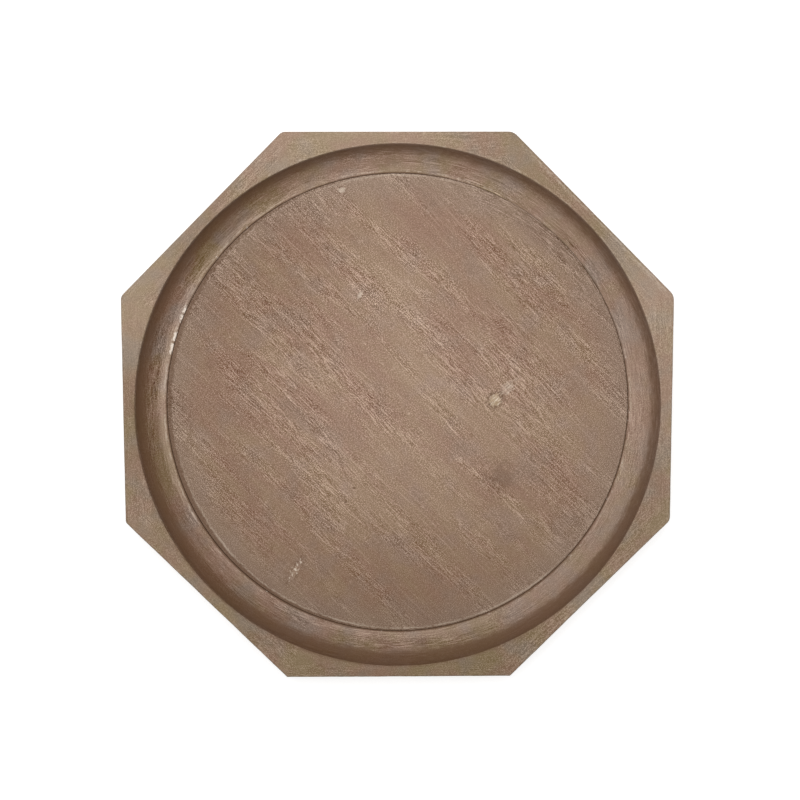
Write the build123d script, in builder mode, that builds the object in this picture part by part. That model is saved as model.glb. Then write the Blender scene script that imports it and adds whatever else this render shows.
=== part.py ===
from build123d import *
from math import cos, radians, sin, tan
import os

# Octagonal wooden tray with a round, coved well. Millimetres, +Z up.
# The origin is on the surface that the tray stands on, under the centre of the well.
# Side 1 of the octagon faces +X. Sides and mitres are numbered anticlockwise from there,
# and mitre 1 lies between sides 1 and 2.

# Driving dimensions
across_flats = 406.4
overall_height = 38.0
foot_height = 2.0
panel_thickness = 11.0
floor_thickness = 1.0
well_radius = 194.7
floor_radius = 174.0

# Rim section
side_count = 8
lip_height = 1.0
corner_rounding = 8.0
outer_arris = 1.5
bottom_arris = 1.0
well_arris = 0.8
lip_arris = 0.3
rebate_wall = 7.2

# Octagonal panel in the rebate, and the round floor sheet that lies on it inside the rim
backing_thickness = 0.5
panel_gap = 0.5
floor_gap = 0.4
floor_arris = 0.5

# Mitre dowels, one above the other in each mitre
dowel_radius = 3.0
dowel_length = 30.0
dowel_chamfer = 0.6
dowel_circle = 205.0
dowel_rises = {"lower": 7.0, "upper": 17.0}
hole_clearance = 0.05
hole_end_gap = 1.0

# Countersunk screws, two into each rim segment from below
screw_circle = 197.0
screw_offset_angle = 15.5
screw_length = 25.0
screw_shank_radius = 1.75
screw_head_radius = 3.5
screw_head_rim = 0.2
screw_point = 3.0
recess_width = 1.0
recess_span = 3.8
recess_depth = 1.2

# Rubber feet, on the four diagonals
foot_radius = 8.0
foot_circle = 180.0
foot_count = 4
foot_taper = 12.0
foot_edge = 0.5

# Worked out from the above
side_angle = 360 / side_count
mitre_angle = side_angle / 2
apothem = across_flats / 2
ring_height = overall_height - foot_height
ledge_level = foot_height + panel_thickness
floor_level = ledge_level + floor_thickness
lip_level = floor_level + lip_height
rebate_apothem = apothem - rebate_wall
panel_apothem = rebate_apothem - panel_gap
slice_inside = 0.8 * floor_radius
slice_outside = 1.2 * apothem
slice_slope = tan(radians(mitre_angle))


def side_plane(side, height):
    """The level plane at a height whose X axis points at the middle of a side."""
    angle = radians(side_angle * (side - 1))
    return Plane(origin=(0, 0, height), x_dir=(cos(angle), sin(angle), 0), z_dir=(0, 0, 1))


def mitre_plane(mitre):
    """The upright plane of a mitre: its X axis points outwards and its Y axis points up."""
    angle = radians(side_angle * (mitre - 1) + mitre_angle)
    outwards = (cos(angle), sin(angle), 0)
    across = (sin(angle), -cos(angle), 0)
    return Plane(origin=(0, 0, 0), x_dir=outwards, z_dir=across)


def screw_outline(clearance):
    """Half of a screw's outline, standing on its head, as distances from its axis and heights."""
    head = screw_head_radius + clearance
    shank = screw_shank_radius + clearance
    rim_top = foot_height + screw_head_rim
    tip = foot_height + screw_length + clearance
    return [
        (0, foot_height),
        (head, foot_height),
        (head, rim_top),
        (shank, rim_top + head - shank),
        (shank, tip - screw_point),
        (0, tip),
    ]


def outer_edges(segment, side, height):
    """The outer edges of a rim segment at a height: its straight side and its two corners."""
    level = segment.edges().filter_by(lambda edge: abs(edge.center().Z - height) < 1e-6)
    along_side = Axis((0, 0, 0), side_plane(side, 0).y_dir)
    straight = level.filter_by(along_side).sort_by_distance((0, 0, height))[-1]
    corners = level.filter_by(GeomType.CIRCLE)
    corners = corners.filter_by(lambda edge: edge.radius < 2 * corner_rounding)
    return [straight] + corners


def circle_edges(segment, radius, height):
    """The edges of a rim segment that run round the well at a radius and a height."""
    arcs = segment.edges().filter_by(GeomType.CIRCLE)
    arcs = arcs.filter_by(lambda edge: abs(edge.radius - radius) < 1e-6)
    return arcs.filter_by(lambda edge: abs(edge.center().Z - height) < 1e-6)


os.makedirs("parts", exist_ok=True)

# One screw stands on the origin, and the space round it is what its hole takes away
with BuildPart() as screw:
    with BuildSketch(Plane.XZ):
        with BuildLine():
            Polyline(screw_outline(0), close=True)
        make_face()
    revolve(axis=Axis.Z)
    with BuildSketch(Plane.XY.offset(foot_height)):
        Rectangle(recess_span, recess_width)
        Rectangle(recess_width, recess_span)
    extrude(amount=recess_depth, mode=Mode.SUBTRACT)

with BuildPart() as screw_space:
    with BuildSketch(Plane.XZ):
        with BuildLine():
            Polyline(screw_outline(hole_clearance), close=True)
        make_face()
    revolve(axis=Axis.Z)

with BuildPart() as screw_spaces:
    for start in (screw_offset_angle, -screw_offset_angle):
        with PolarLocations(screw_circle, side_count, start_angle=start):
            add(screw_space.part)

# Rim segments: mitred sticks with a rebate underneath and a cove turned inside
for side in range(1, side_count + 1):
    with BuildPart() as rim_segment:
        # The stick in plan is the slice of a rounded octagon between two mitres
        with BuildSketch(side_plane(side, foot_height)):
            octagon = RegularPolygon(apothem, side_count, major_radius=False, rotation=mitre_angle)
            fillet(octagon.vertices(), corner_rounding)
            with BuildLine():
                Polyline(
                    (slice_inside, -slice_inside * slice_slope),
                    (slice_outside, -slice_outside * slice_slope),
                    (slice_outside, slice_outside * slice_slope),
                    (slice_inside, slice_inside * slice_slope),
                    close=True,
                )
            make_face(mode=Mode.INTERSECT)
        extrude(amount=ring_height)

        # The well: an upright lip off the ledge, and a cove that rises to an upright edge
        with BuildSketch(mitre_plane(side)):
            with BuildLine():
                Polyline(
                    (0, overall_height),
                    (0, ledge_level),
                    (floor_radius, ledge_level),
                    (floor_radius, lip_level),
                )
                EllipticalCenterArc(
                    (floor_radius, overall_height),
                    well_radius - floor_radius,
                    overall_height - lip_level,
                    start_angle=-90,
                    arc_size=90,
                )
                Line((well_radius, overall_height), (0, overall_height))
            make_face()
        revolve(axis=Axis.Z, mode=Mode.SUBTRACT)

        # The rebate for the panel
        with BuildSketch(side_plane(side, foot_height)):
            RegularPolygon(rebate_apothem, side_count, major_radius=False, rotation=mitre_angle)
        extrude(amount=panel_thickness, mode=Mode.SUBTRACT)

        # Sanded arrises
        fillet(outer_edges(rim_segment, side, overall_height), outer_arris)
        fillet(outer_edges(rim_segment, side, foot_height), bottom_arris)
        fillet(circle_edges(rim_segment, well_radius, overall_height), well_arris)
        fillet(circle_edges(rim_segment, floor_radius, lip_level), lip_arris)

        # Dowel holes in both mitred ends, and pilot holes for the screws
        for mitre in (side - 1, side):
            with BuildSketch(mitre_plane(mitre)):
                for rise in dowel_rises.values():
                    with Locations((dowel_circle, floor_level + rise)):
                        Circle(dowel_radius + hole_clearance)
            extrude(amount=dowel_length / 2 + hole_end_gap, both=True, mode=Mode.SUBTRACT)
        add(screw_spaces.part, mode=Mode.SUBTRACT)
    rim_segment.part.label = f"rim_segment_{side}"
    export_step(rim_segment.part, f"parts/rim_segment_{side}.step")

# Dowels: two across each mitre, with chamfered ends
for mitre in range(1, side_count + 1):
    for place, rise in dowel_rises.items():
        with BuildPart() as mitre_dowel:
            with BuildSketch(mitre_plane(mitre)):
                with Locations((dowel_circle, floor_level + rise)):
                    Circle(dowel_radius)
            extrude(amount=dowel_length / 2, both=True)
            chamfer(mitre_dowel.edges().filter_by(GeomType.CIRCLE), dowel_chamfer)
        mitre_dowel.part.label = f"mitre_dowel_{mitre}_{place}"
        export_step(mitre_dowel.part, f"parts/mitre_dowel_{mitre}_{place}.step")

# Octagonal panel: a thin backing under a thick core, with the screw holes through both
panel_layers = {
    "backing_veneer": (foot_height, backing_thickness),
    "floor_core": (foot_height + backing_thickness, panel_thickness - backing_thickness),
}
for name, (level, thickness) in panel_layers.items():
    with BuildPart() as panel_layer:
        with BuildSketch(Plane.XY.offset(level)):
            RegularPolygon(panel_apothem, side_count, major_radius=False, rotation=mitre_angle)
        extrude(amount=thickness)
        add(screw_spaces.part, mode=Mode.SUBTRACT)
    panel_layer.part.label = name
    export_step(panel_layer.part, f"parts/{name}.step")

# Round floor sheet, with an eased edge beside the lip
with BuildPart() as floor_veneer:
    with BuildSketch(Plane.XY.offset(ledge_level)):
        Circle(floor_radius - floor_gap)
    extrude(amount=floor_thickness)
    fillet(floor_veneer.edges().sort_by(Axis.Z)[-1], floor_arris)
floor_veneer.part.label = "floor_veneer"
export_step(floor_veneer.part, "parts/floor_veneer.step")

# Screws, all alike, in one node
with BuildPart() as panel_screws:
    for start in (screw_offset_angle, -screw_offset_angle):
        with PolarLocations(screw_circle, side_count, start_angle=start):
            add(screw.part)
panel_screws.part.label = "panel_screws"
export_step(panel_screws.part, "parts/panel_screws.step")

# Rubber feet: low tapered studs with a rounded lower edge
for foot in range(1, foot_count + 1):
    angle = radians(360 / foot_count * (foot - 0.5))
    centre = (foot_circle * cos(angle), foot_circle * sin(angle), foot_height)
    with BuildPart() as rubber_foot:
        with BuildSketch(Plane(origin=centre, x_dir=(1, 0, 0), z_dir=(0, 0, -1))):
            Circle(foot_radius)
        extrude(amount=foot_height, taper=foot_taper)
        fillet(rubber_foot.edges().sort_by(Axis.Z)[0], foot_edge)
    rubber_foot.part.label = f"rubber_foot_{foot}"
    export_step(rubber_foot.part, f"parts/rubber_foot_{foot}.step")
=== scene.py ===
from math import atan2, ceil, cos, degrees, exp, hypot, pi, radians, sin, sqrt, tan

import bmesh
import bpy
from mathutils import Matrix, Vector, noise
from mathutils.geometry import tessellate_polygon


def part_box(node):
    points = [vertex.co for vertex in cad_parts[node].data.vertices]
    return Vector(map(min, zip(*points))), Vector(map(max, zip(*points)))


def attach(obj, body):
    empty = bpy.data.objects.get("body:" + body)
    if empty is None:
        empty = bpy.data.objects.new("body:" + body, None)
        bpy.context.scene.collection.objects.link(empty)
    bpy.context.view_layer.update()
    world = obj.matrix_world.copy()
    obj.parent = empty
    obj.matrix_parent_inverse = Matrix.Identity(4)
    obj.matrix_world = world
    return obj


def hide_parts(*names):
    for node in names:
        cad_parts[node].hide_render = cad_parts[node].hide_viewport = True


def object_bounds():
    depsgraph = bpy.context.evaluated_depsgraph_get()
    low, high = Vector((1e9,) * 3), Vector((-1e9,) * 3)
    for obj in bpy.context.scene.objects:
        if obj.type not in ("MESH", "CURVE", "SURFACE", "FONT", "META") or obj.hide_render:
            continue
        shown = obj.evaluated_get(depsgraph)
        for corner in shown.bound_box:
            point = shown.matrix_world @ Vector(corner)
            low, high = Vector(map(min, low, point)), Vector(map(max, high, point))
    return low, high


# The looks of an octagonal wooden tray with a round, coved well: eight weathered rim segments,
# a round floor sheet on an octagonal panel, dowels in the mitres, screws and rubber feet below.
# Metres, +Z up. Side 1 faces +X, and sides and mitres are numbered anticlockwise from there.
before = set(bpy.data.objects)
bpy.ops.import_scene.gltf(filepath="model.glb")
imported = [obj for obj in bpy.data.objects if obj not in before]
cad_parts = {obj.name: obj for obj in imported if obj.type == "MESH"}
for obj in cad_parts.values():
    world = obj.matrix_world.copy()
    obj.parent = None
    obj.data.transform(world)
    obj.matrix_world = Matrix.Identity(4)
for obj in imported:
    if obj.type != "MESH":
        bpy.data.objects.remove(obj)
cad_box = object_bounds()

mm = 0.001
body = "root"

# Sizes read from the CAD parts
side_count = 8
half_side = pi / side_count
segment_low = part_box("rim_segment_1")[0]
sheet_low, sheet_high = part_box("floor_veneer")
dowel_low, dowel_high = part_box("mitre_dowel_1_lower")
upper_dowel_low, upper_dowel_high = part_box("mitre_dowel_1_upper")
screw_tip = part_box("panel_screws")[1].z
foot_low, foot_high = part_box("rubber_foot_1")
apothem = cad_box[1].x
rim_level = cad_box[1].z
lip_radius = segment_low.x / cos(half_side)
under_level = segment_low.z
ledge_level = sheet_low.z
floor_level = sheet_high.z
sheet_radius = sheet_high.x
panel_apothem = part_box("floor_core")[1].x
dowel_radius = (dowel_high.z - dowel_low.z) / 2
dowel_levels = [(dowel_low.z + dowel_high.z) / 2, (upper_dowel_low.z + upper_dowel_high.z) / 2]
foot_radius = (foot_high.x - foot_low.x) / 2
foot_circle = hypot(foot_low.x + foot_high.x, foot_low.y + foot_high.y) / 2

# Rim section
lip_level = floor_level + 1.0 * mm
well_radius = 194.7 * mm
lip_arris = 0.3 * mm
well_arris = 0.8 * mm
outer_arris = 1.5 * mm
bottom_arris = 1.0 * mm
rebate_apothem = panel_apothem + 0.5 * mm
cove_run = well_radius - lip_radius
cove_rise = rim_level - lip_level
sharpest_corner = 0.3 * mm
smooth_below = radians(40)

# How far each corner is rounded by hand: corner 1 is at mitre 1
corner_roundings = [9 * mm, 9 * mm, 6 * mm, 6 * mm, 4 * mm, 2 * mm, 2 * mm, 7 * mm]

# How much paler or darker each side of the rim and the corner after it are made, and, every 45
# degrees from +X, the cove and its foot: partly the wash and partly painted light and shade; and how
# much darker the floor is painted towards its edge, as painted light fall-off
rim_tones_and_light = [
    0.01, 0.07, -0.09, -0.07, 0.02, 0.01, -0.09, 0.04,
    -0.13, -0.08, -0.09, -0.12, -0.14, -0.15, -0.06, -0.06,
]
cove_tones_and_light = [0.02, -0.04, -0.06, -0.22, -0.22, -0.22, -0.13, -0.04]
foot_tones_and_light = [0.06, -0.08, 0.04, 0.20, 0.30, 0.13, 0.18, 0.03]
floor_light_falloffs = [-0.08, -0.18, -0.12, -0.26, -0.16, -0.16, -0.20, -0.12]

# How high in the cove its painted shade starts, in degrees of its turn, and how much painted shade
# there is, every 45 degrees from +X
cove_shade_starts = [33, 21, 27, 19, 19, 23, 25, 28]
cove_shade_amounts = [0.68, 0.74, 0.66, 0.97, 0.90, 1.10, 1.08, 1.00]

# How deeply the cove is scored by the cutter, every 45 degrees from +X
scorings = [0.35, 0.50, 0.60, 0.40, 0.60, 0.45, 0.75, 0.30]

# The joint round the floor, every 30 degrees from +X: how wide it gapes and how far the floor's edge
# is worn down beside it, in millimetres, how dark the worn edge is with glaze and painted shade,
# how pale the floor's shoulder is, partly rubbed and partly a painted highlight, and how pale the
# lip is rubbed
joint_gaps = [0.30, 0.20, 0.06, 0.35, 0.30, 0.30, 0.30, 0.38, 0.36, 0.32, 0.32, 0.32]
joint_widths = [0.4, 1.8, 0.6, 0.6, 2.5, 4.3, 4.5, 4.0, 2.4, 1.4, 1.0, 0.7]
joint_glazes_and_shades = [0.00, 0.25, 0.05, 0.00, 0.60, 0.80, 0.75, 1.00, 0.90, 0.35, 0.35, 0.25]
joint_rubbings_and_highlights = [0.1, 0.3, 0.1, 0.75, 0.2, 0.0, 0.1, 1.0, 0.8, 0.9, 1.0, 0.4]
lip_rubbings = [0.5, 0.3, 0.5, 0.5, 0.5, 0.6, 0.8, 0.6, 0.2, 0.1, 0.3, 0.4]

# Stretches round the tray, as the degrees from +X where each starts, is whole, fades and ends:
# where the lip is chipped, where both sides of the joint are scraped, and where the rim is rubbed
chipped_stretch = (153, 157, 164, 169)
scraped_stretch = (18, 40, 60, 92)
rubbed_stretch = (20, 27, 58, 66)

# The bearing at which the cove's upper edge is painted most lit: the least painted shade and the
# brightest painted highlight
most_lit = radians(130)

# Hidden fastenings
dowel_circle = 205 * mm
dowel_length = 30 * mm
dowel_chamfer = 0.6 * mm
hole_clearance = 0.05 * mm
dowel_hole_depth = 16 * mm
drill_point = 0.8 * mm
screw_circle = 197 * mm
screw_angle = radians(15.5)
screw_head_radius = 3.5 * mm
screw_shank_radius = 1.75 * mm


def steps(first, last, count):
    """Evenly spaced values from first to last, both included."""
    return [first + (last - first) * step / count for step in range(count + 1)]


def blend(first, last, share):
    """The value that lies a share of the way from first to last."""
    return first + (last - first) * share


def smooth(low, high, value):
    """Rises smoothly from 0 at low to 1 at high."""
    share = min(max((value - low) / (high - low), 0.0), 1.0)
    return share * share * (3 - 2 * share)


def round_the_tray(values, bearing):
    """A value that passes smoothly through the given ones, evenly spaced round the tray from +X."""
    place = bearing / (2 * pi) * len(values)
    before = values[int(place // 1) % len(values)]
    after = values[int(place // 1 + 1) % len(values)]
    return blend(before, after, smooth(0, 1, place % 1))


def within(bearing, stretch):
    """1 along a stretch round the tray, and fading to 0 at both its ends."""
    starts, whole, fades, ends = stretch
    turned = degrees(bearing) % 360
    return smooth(starts, whole, turned) * (1 - smooth(fades, ends, turned))


def sway(x, y=0.0, z=0.0):
    """A smooth wandering value between about -1 and 1, the same each run."""
    return noise.noise(Vector((x, y, z)))


def finished(name, mesh, *nodes, slot, material):
    """Puts a mesh in the scene as a piece of the tray that stands for CAD nodes."""
    piece = bpy.data.objects.new(name, mesh)
    bpy.context.scene.collection.objects.link(piece)
    if not mesh.materials:
        mesh.materials.append(material)
    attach(piece, body)
    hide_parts(*nodes)
    return piece


def closed_mesh(name, points, faces, sharp_angle):
    """A closed mesh with its faces pointing outwards, smooth except at edges over an angle."""
    mesh = bpy.data.meshes.new(name)
    mesh.from_pydata(points, [], faces)
    work = bmesh.new()
    work.from_mesh(mesh)
    bmesh.ops.recalc_face_normals(work, faces=work.faces)
    work.to_mesh(mesh)
    work.free()
    mesh.polygons.foreach_set("use_smooth", [True] * len(mesh.polygons))
    mesh.set_sharp_from_angle(angle=sharp_angle)
    return mesh


def keep_values(mesh, name, values):
    """Stores one number, or one vector, for each point of a mesh."""
    if isinstance(values[0], float):
        layer = mesh.attributes.new(name, "FLOAT", "POINT")
        layer.data.foreach_set("value", values)
    else:
        layer = mesh.attributes.new(name, "FLOAT_VECTOR", "POINT")
        layer.data.foreach_set("vector", [part for value in values for part in value])


def ring_of_quads(first, second, around):
    """Faces that join one ring of points to the next, by the index at which each ring starts."""
    spots = [(spot, (spot + 1) % around) for spot in range(around)]
    return [[first + here, first + after, second + after, second + here] for here, after in spots]


def fan(ring, tip, around):
    """Triangles that join a ring of points to one point."""
    return [[ring + spot, ring + (spot + 1) % around, tip] for spot in range(around)]


def turned_ring(radii, height):
    """Points round the Z axis at a height, one at each of the given radii."""
    turns = steps(0, 2 * pi, len(radii))[:-1]
    return [Vector((reach * cos(turn), reach * sin(turn), height)) for reach, turn in zip(radii, turns)]


def filled(outlines):
    """Triangles that fill a flat outline around its holes, each a list of (index, place)."""
    indices = [index for outline in outlines for index, place in outline]
    shapes = [[Vector(place).to_3d() for index, place in outline] for outline in outlines]
    return [[indices[corner] for corner in triangle] for triangle in tessellate_polygon(shapes)]


# ---------------------------------------------------------------- Rim segments


def outline_reach(angle, inset, corner):
    """How far the rim's outline reaches from the centre, at an angle from the middle of a side."""
    side = apothem - inset
    corner = max(corner - inset, sharpest_corner)
    centre = (side - corner) / cos(half_side)
    if side * tan(abs(angle)) <= (side - corner) * tan(half_side):
        return side / cos(angle)
    swing = half_side - abs(angle)
    return centre * cos(swing) + sqrt(corner**2 - (centre * sin(swing)) ** 2)


def rim_stations(first_corner, last_corner):
    """Angles across a segment: close together round its corners and at its mitres."""
    spacing = 1.3 * mm
    hairline = 0.12 * mm / apothem
    ends = [(apothem - corner) * tan(half_side) for corner in (first_corner, last_corner)]
    stations = [atan2(y, apothem) for y in steps(-ends[0], ends[1], ceil(sum(ends) / spacing))]
    for end, corner in ((-1, first_corner), (1, last_corner)):
        centre = apothem - corner
        for turn in steps(0, half_side, 5)[1:]:
            across = centre * tan(half_side) + corner * sin(turn)
            stations.append(end * atan2(across, centre + corner * cos(turn)))
        stations.append(end * (half_side - hairline))
    return sorted(set(round(station, 7) for station in stations))


def rim_stops(angle, bearing, corner, ease):
    """The rim's section at an angle: stops of (reach, level, wear and painted highlight, darkening that
    is mostly painted shade, cove) from ledge to ledge.
    """
    # How much painted shade lies in the joint here, more where it gapes wider
    gap_shade = round_the_tray(joint_gaps, bearing) / max(joint_gaps)
    patches = smooth(-0.3, 0.3, sway(bearing * lip_radius / (6 * mm), 5.5))
    rubbed_lip = round_the_tray(lip_rubbings, bearing) * patches
    # How lit the cove's upper edge is painted here
    lit_edge = 0.5 + 0.5 * cos(bearing - most_lit)
    rubbed_face = 0.1 + 0.45 * within(bearing, rubbed_stretch)
    shaded_side = 0.5 - 0.5 * sin(bearing)
    # Where the painted shade in the cove starts at this bearing, and how much of it there is
    shade_start = radians(round_the_tray(cove_shade_starts, bearing))
    most_shade = round_the_tray(cove_shade_amounts, bearing)

    # The lip and its arris, in painted shade of the joint
    stops = [(lip_radius, level, 0.0, 1.0, 0.0) for level in (ledge_level, lip_level - lip_arris)]
    for turn in steps(0, pi / 2, 3)[1:]:
        reach = lip_radius + lip_arris * (1 - cos(turn))
        stops.append((reach, lip_level - lip_arris * (1 - sin(turn)), 0.0, gap_shade, 0.5))

    # The cove: painted shade of the joint at its foot, a rubbed line over that, and painted shade that
    # gathers towards its upper edge, thinner on the side where that edge is painted lit, with a painted
    # highlight just under the edge there
    for turn in steps(radians(2.0), radians(87.5), 47):
        above_foot = smooth(radians(2), radians(4), turn)
        shade_and_glaze = smooth(shade_start, radians(61), turn) * most_shade
        shade_and_glaze *= 1 - 0.75 * smooth(radians(72), radians(84), turn) * lit_edge
        shade_and_glaze = max(shade_and_glaze, 0.7 * gap_shade * (1 - above_foot))
        wear_and_highlight = rubbed_lip * above_foot * (1 - smooth(radians(5), radians(9), turn))
        wear_and_highlight = max(wear_and_highlight, 0.3 * lit_edge * smooth(radians(77), radians(84), turn))
        reach = lip_radius + cove_run * sin(turn)
        stops.append((reach, rim_level - cove_rise * cos(turn), wear_and_highlight, shade_and_glaze, 1.0))
    # The well's arris: a painted highlight on the +Y side of the tray and painted shade on the -Y side
    for turn in steps(radians(15), pi / 2, 4):
        reach = well_radius + well_arris * (1 - cos(turn))
        level = rim_level - well_arris * (1 - sin(turn))
        stops.append((reach, level, 0.3 * (1 - shaded_side), 0.5 * shaded_side, 0.3))

    # The level face, dusky beside the well and rubbed towards the outer arris
    arris = outer_arris * ease
    for share in steps(0, 1, 12)[1:]:
        reach = blend(well_radius + well_arris, outline_reach(angle, arris, corner), share)
        wear_and_highlight = rubbed_face * smooth(0.7, 1, share)
        stops.append((reach, rim_level, wear_and_highlight, 0.25 * (1 - smooth(0, 0.3, share)), 0.0))
    # The outer arris, rubbed a little, and darkened by painted shade as it turns down
    for turn in steps(0, pi / 2, 5)[1:]:
        reach = outline_reach(angle, arris * (1 - sin(turn)), corner)
        stops.append((reach, rim_level - arris * (1 - cos(turn)), 0.15, 0.3 * sin(turn), 0.0))

    # The outside, with a little painted shade, then the underside and the rebate's wall, darkened more
    for level in steps(rim_level - arris, under_level + bottom_arris, 14)[1:]:
        stops.append((outline_reach(angle, 0, corner), level, 0.0, 0.15, 0.0))
    for turn in steps(0, pi / 2, 4)[1:]:
        reach = outline_reach(angle, bottom_arris * (1 - cos(turn)), corner)
        stops.append((reach, under_level + bottom_arris * (1 - sin(turn)), 0.4, 0.0, 0.0))
    rebate = rebate_apothem / cos(angle)
    for share in steps(0, 1, 4)[1:]:
        reach = blend(outline_reach(angle, bottom_arris, corner), rebate, share)
        stops.append((reach, under_level, 0.0, 0.2, 0.0))
    for level in steps(under_level, ledge_level, 4)[1:]:
        stops.append((rebate, level, 0.0, 0.6, 0.0))
    return stops


def lip_chipping(bearing):
    """How badly the lip is chipped at a bearing round the well, from 0 to 1."""
    flakes = sway(bearing * lip_radius / (2.4 * mm), 7.3)
    patches = sway(bearing * lip_radius / (9 * mm), 2.1)
    broken = within(bearing, chipped_stretch) * smooth(-0.25, 0.2, flakes + 0.5 * patches)
    stray = smooth(0.42, 0.6, sway(bearing * lip_radius / (3.5 * mm), 31.7))
    return max(broken, 0.12 * stray)


def hole(points, faces, centre, across, along, depth, radius):
    """A blind hole drilled into a flat face. Returns its mouth as (index, place) pairs."""
    around = 20
    first = len(points)
    turns = steps(0, 2 * pi, around)[:-1]
    ring = [across[0] * cos(turn) * radius + across[1] * sin(turn) * radius for turn in turns]
    points.extend(centre + offset for offset in ring)
    points.extend(centre + offset + along * depth for offset in ring)
    points.append(centre + along * (depth + drill_point))
    faces.extend(ring_of_quads(first, first + around, around))
    faces.extend(fan(first + around, first + 2 * around, around))
    return [(first + spot, offset) for spot, offset in enumerate(ring)]


def weathered_row(station, bearing, corner):
    """One row of a segment's points, and what the mesh holds for each of them."""
    run = bearing * apothem
    ease = 1 + 0.45 * sway(run / (16 * mm), 3.7) + 0.2 * sway(run / (4 * mm), 9.1)
    chip = lip_chipping(bearing)
    scoring = round_the_tray(scorings, bearing)
    foot_scoring = 0.7 * within(bearing, scraped_stretch)
    tones_and_light = (round_the_tray(rim_tones_and_light, bearing), round_the_tray(cove_tones_and_light, bearing))
    foot_tone_and_light = round_the_tray(foot_tones_and_light, bearing)
    sunk = 0.02 * mm if half_side - abs(station) < 1e-6 else 0.0
    row = []
    for reach, level, wear_and_highlight, shade_and_glaze, cove in rim_stops(station, bearing, corner, ease):
        path = reach + level
        if level > under_level + bottom_arris and reach > lip_radius:
            ripple = 0.05 * sway(run / (30 * mm), path / (1.6 * mm)) * cove
            hollow = 0.12 * sway(run / (24 * mm), path / (14 * mm), 5.0) * (1 - cove)
            level += (ripple + hollow) * mm
            level -= sunk if level > floor_level else 0.0
        past_lip = reach - lip_radius
        near_lip = exp(-(((past_lip - 0.6 * mm) / (1.3 * mm)) ** 2)) if level > ledge_level else 0.0
        reach += 0.5 * mm * chip * near_lip
        level -= 0.35 * mm * chip * near_lip * smooth(ledge_level, lip_level, level)
        past_lip = reach - lip_radius
        scored = scoring + foot_scoring * (1 - smooth(4 * mm, 9 * mm, past_lip))
        at_foot = cove * (1 - smooth(3.0 * mm, 8.0 * mm, past_lip))
        row.append({
            "point": Vector((reach * cos(bearing), reach * sin(bearing), level)),
            "wear_and_highlight": wear_and_highlight,
            "chipped": min(1.0, 1.3 * chip * near_lip),
            "shade_and_glaze": shade_and_glaze,
            "cove": cove,
            "scored": cove * scored,
            "tone_and_light": blend(*tones_and_light, cove) + foot_tone_and_light * at_foot,
            "turned": (bearing * lip_radius, path, 0.0),
        })
    return row


def rim_segment(side):
    """One mitred stick of the rim, worn by hand, with its dowel and screw holes."""
    middle = 2 * half_side * (side - 1)
    outwards = Vector((cos(middle), sin(middle), 0))
    sideways = Vector((-sin(middle), cos(middle), 0))
    upwards = Vector((0, 0, 1))
    corners = (corner_roundings[side - 2], corner_roundings[side - 1])
    stations = rim_stations(*corners)
    stops = []
    for station in stations:
        corner = corners[0] if station < 0 else corners[1]
        stops.extend(weathered_row(station, middle + station, corner))
    points = [stop["point"] for stop in stops]
    stop_count = len(points) // len(stations)
    faces = []
    for row in range(len(stations) - 1):
        for stop in range(stop_count - 1):
            here = row * stop_count + stop
            faces.append([here, here + 1, here + stop_count + 1, here + stop_count])

    # The ledge under the well, with a pilot hole for each of its two screws
    inner_edge = [row * stop_count for row in range(len(stations))]
    outer_edge = [row * stop_count + stop_count - 1 for row in reversed(range(len(stations)))]
    ledge = [(index, points[index].xy) for index in inner_edge + outer_edge]
    ledge_holes = []
    for turn in (-screw_angle, screw_angle):
        centre = (outwards * cos(turn) + sideways * sin(turn)) * screw_circle + upwards * ledge_level
        depth = screw_tip - ledge_level
        radius = screw_shank_radius + hole_clearance
        mouth = hole(points, faces, centre, (outwards, sideways), upwards, depth, radius)
        ledge_holes.append([(index, (centre + offset).xy) for index, offset in mouth])
    faces.extend(filled([ledge] + ledge_holes))

    # The two mitred ends, with two dowel holes each
    for end, row in ((-1, 0), (1, len(stations) - 1)):
        out = outwards * cos(half_side) + sideways * sin(half_side) * end
        inward = outwards * sin(half_side) - sideways * cos(half_side) * end
        ring = range(row * stop_count, (row + 1) * stop_count)
        cap = [(index, (points[index].dot(out), points[index].z)) for index in ring]
        cap_holes = []
        for level in dowel_levels:
            centre = out * dowel_circle + upwards * level
            radius = dowel_radius + hole_clearance
            mouth = hole(points, faces, centre, (out, upwards), inward, dowel_hole_depth, radius)
            across = [(index, offset.dot(out), offset.z) for index, offset in mouth]
            cap_holes.append([(index, (dowel_circle + x, level + z)) for index, x, z in across])
        faces.extend(filled([cap] + cap_holes))

    # What the mesh holds for each point, with nothing on the walls of the holes
    mesh = closed_mesh(f"weathered_rim_{side}", points, faces, smooth_below)
    drilled = len(points) - len(stops)
    for name in ("wear_and_highlight", "chipped", "shade_and_glaze", "cove", "scored", "tone_and_light"):
        keep_values(mesh, name, [stop[name] for stop in stops] + [0.0] * drilled)
    keep_values(mesh, "turned", [stop["turned"] for stop in stops] + [(0.0, 0.0, 0.0)] * drilled)
    shift = 0.37 * side
    grain = [(point.dot(sideways) + shift, point.dot(outwards), point.z + shift) for point in points]
    keep_values(mesh, "grain", grain)
    return mesh


# ---------------------------------------------------------------- Floor sheet

grain_turn = radians(-45)
edge_spots = 720
bites_per_radian = 95

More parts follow.
